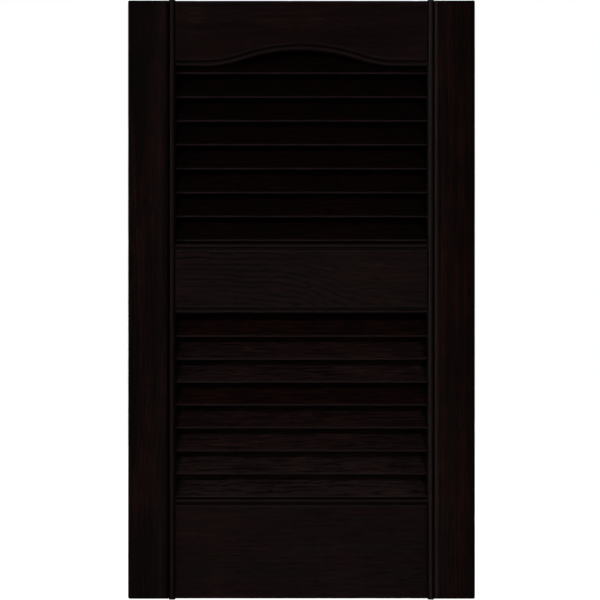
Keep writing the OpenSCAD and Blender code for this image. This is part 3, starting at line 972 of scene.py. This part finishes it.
def build_bead_strip(name, side, finish):
    middle = (OPENING_X + STRIP_BEAD_INSET, STRIP_CROWN + STRIP_BEAD_R)
    base = STRIP_SEAT - STRIP_BASE_T
    rise = math.degrees(math.asin((middle[1] - base) / STRIP_BEAD_R))
    bead = arc(*middle, STRIP_BEAD_R, 180 + rise, 360 - rise, 22)
    cut = STRIP_CORNER
    section = outline(
        [
            (OPENING_X, STRIP_SEAT),
            [(OPENING_X, base + cut), (OPENING_X + cut, base)],
            bead,
            [(STRIP_SIDE - cut, base), (STRIP_SIDE, base + cut)],
            (STRIP_SIDE, STRIP_SEAT),
        ],
        [0.8 * MM, 0.4 * MM, 0.4 * MM, 0.8 * MM, 3 * MM],
    )
    section = np.array(section)
    low = FRAME_LOW + FRAME_TOP - STRIP_TOP
    z = stations(low, STRIP_TOP, 3.0 * MM, STRIP_END_STEPS)
    to_end = np.minimum(z - low, STRIP_TOP - z)
    grid = carried(section, z, "Z")
    limit = STRIP_CROWN + end_ease(to_end, STRIP_CROWN_EASE)
    grid[..., 1] = np.maximum(grid[..., 1], limit[:, None])
    board = dict(BOARD, seed=41 if side < 0 else 47, ring=0.0031, wander_len=0.09)
    grid, figure = carve(grid, board, "Z", 0.06 * MM, 0.10 * MM)
    if side < 0:
        grid[..., 0] *= -1
    wear_and_light = wear_and_painted_light(section)
    # The bead's flanks are darkened as painted shade.
    wear_and_light[np.abs(section[:, 0] - middle[0]) > 0.93 * STRIP_BEAD_R] = -0.4
    return make_piece(name + "_moulded", grid, figure, wear_and_light, finish, [name])


# ---------------------------------------------------------------------------
# Studio: floor, soft lights and camera
# ---------------------------------------------------------------------------
FLOOR_REACH = 6.0
FLOOR_GAP = 0.4 * MM


def studio_floor():
    mesh = bpy.data.meshes.new("studio_floor")
    level, far = cad_box[0][2] - FLOOR_GAP, FLOOR_REACH
    corners = [(-far, -far, level), (far, -far, level), (far, far, level), (-far, far, level)]
    mesh.from_pydata(corners, [], [(0, 1, 2, 3)])
    mesh.update()
    floor = bpy.data.objects.new("studio_floor", mesh)
    bpy.context.scene.collection.objects.link(floor)
    f = Finish("pale_floor")
    coords = f.node("ShaderNodeTexCoord").outputs["Object"]
    shader = f.node("ShaderNodeBsdfPrincipled")
    tint = f.blend(f.window(f.noise(coords, 3.0), 0.3, 0.7), (0.86, 0.86, 0.86, 1), (0.9, 0.9, 0.9, 1))
    f.feed(shader, "Base Color", tint)
    f.feed(shader, "Roughness", 0.9)
    f.feed(shader, "Specular IOR Level", 0.1)
    f.feed(shader, "Emission Color", (1, 1, 1, 1))
    f.feed(shader, "Emission Strength", 1.0)
    out = f.node("ShaderNodeOutputMaterial")
    f.tree.links.new(shader.outputs[0], out.inputs[0])
    mesh.materials.append(f.material)
    floor.visible_glossy = False
    floor.visible_diffuse = False


# Each light's name, place, aim, width, height and power. Those behind the panel stay low, so that
# none shines down through the slots on to the louvres.
LIGHTS = (
    ("key_left", (-0.92, -1.60, 0.86), (0, 0, -0.03), 0.26, 0.26, 3.4),
    ("key_right", (0.98, -1.55, 0.76), (0, 0, -0.03), 0.40, 0.40, 2.3),
    ("rim_left", (-2.40, -0.98, -0.1), (0, 0, 0), 0.25, 1.8, 13),
    ("front_low", (0.03, -1.00, -0.42), (0, 0, -0.02), 0.6, 0.3, 0.72),
    ("front_sheet", (0.0, -3.10, 0.0), (0, 0, 0), 1.4, 1.4, 1.2),
    ("behind_left", (-1.30, 1.60, -0.12), (0, 0, -0.10), 1.0, 0.25, 14),
    ("behind_right", (1.50, 1.40, -0.12), (0, 0, -0.10), 1.0, 0.25, 10),
    ("side_right", (1.80, 0.30, -0.05), (0, 0, -0.05), 0.8, 0.3, 6),
    ("side_left", (-1.80, 0.34, -0.05), (0, 0, -0.05), 0.8, 0.3, 6),
)


def soft_light(name, place_at, aim, width, height, power):
    data = bpy.data.lights.new(name, "AREA")
    data.shape = "RECTANGLE"
    data.size = width
    data.size_y = height
    data.energy = power
    light = bpy.data.objects.new(name, data)
    light.location = place_at
    light.rotation_euler = (Vector(aim) - Vector(place_at)).to_track_quat("-Z", "Y").to_euler()
    bpy.context.scene.collection.objects.link(light)


AMBIENT = 0.02


def studio_world():
    world = bpy.data.worlds.new("studio")
    world.use_nodes = True
    nodes, links = world.node_tree.nodes, world.node_tree.links
    nodes.clear()
    rays = nodes.new("ShaderNodeLightPath")
    seen = nodes.new("ShaderNodeBackground")
    seen.inputs[0].default_value = (1, 1, 1, 1)
    seen.inputs[1].default_value = 1.0
    lit = nodes.new("ShaderNodeBackground")
    lit.inputs[0].default_value = (1, 1, 1, 1)
    lit.inputs[1].default_value = AMBIENT
    mix = nodes.new("ShaderNodeMixShader")
    out = nodes.new("ShaderNodeOutputWorld")
    links.new(rays.outputs["Is Camera Ray"], mix.inputs[0])
    links.new(lit.outputs[0], mix.inputs[1])
    links.new(seen.outputs[0], mix.inputs[2])
    links.new(mix.outputs[0], out.inputs[0])
    bpy.context.scene.world = world


# The width that the camera takes in at the stiles' face, and where it aims there, in X and Z.
FIELD = 636.5 * MM
CAMERA_AIM = (-1.6 * MM, -0.4 * MM)


def studio_camera():
    data = bpy.data.cameras.new("camera")
    data.sensor_width = 36
    data.lens = 135
    back_off = FIELD * data.lens / data.sensor_width
    camera = bpy.data.objects.new("camera", data)
    camera.location = (CAMERA_AIM[0], STILE_FACE - back_off, CAMERA_AIM[1])
    camera.rotation_euler = (math.pi / 2, 0, 0)
    bpy.context.scene.collection.objects.link(camera)
    bpy.context.scene.camera = camera


# ---------------------------------------------------------------------------
# Build
# ---------------------------------------------------------------------------
# The right stile's inner arris is lightened over a wider bend than the left's: a painted highlight on the
# side that faces the left-hand lights.
build_stile("stile_left", -1, left_stile_finish, 0.3 * MM)
build_stile("stile_right", 1, right_stile_finish, 3.0 * MM)
build_top_rail()
build_centre_rail()
build_bottom_rail()
build_bead_strip("bead_strip_left", -1, left_bead_finish)
build_bead_strip("bead_strip_right", 1, right_bead_finish)
bank = louvre_tree()
build_louvres(bank, "louvres_upper", UPPER_LOUVRES, 1, UPPER_STAIN_AND_SHADE)
build_louvres(bank, "louvres_lower", LOWER_LOUVRES, 21, LOWER_STAIN_AND_SHEEN)

studio_world()
studio_floor()
for light in LIGHTS:
    soft_light(*light)
studio_camera()
bpy.context.scene.view_settings.view_transform = "Standard"
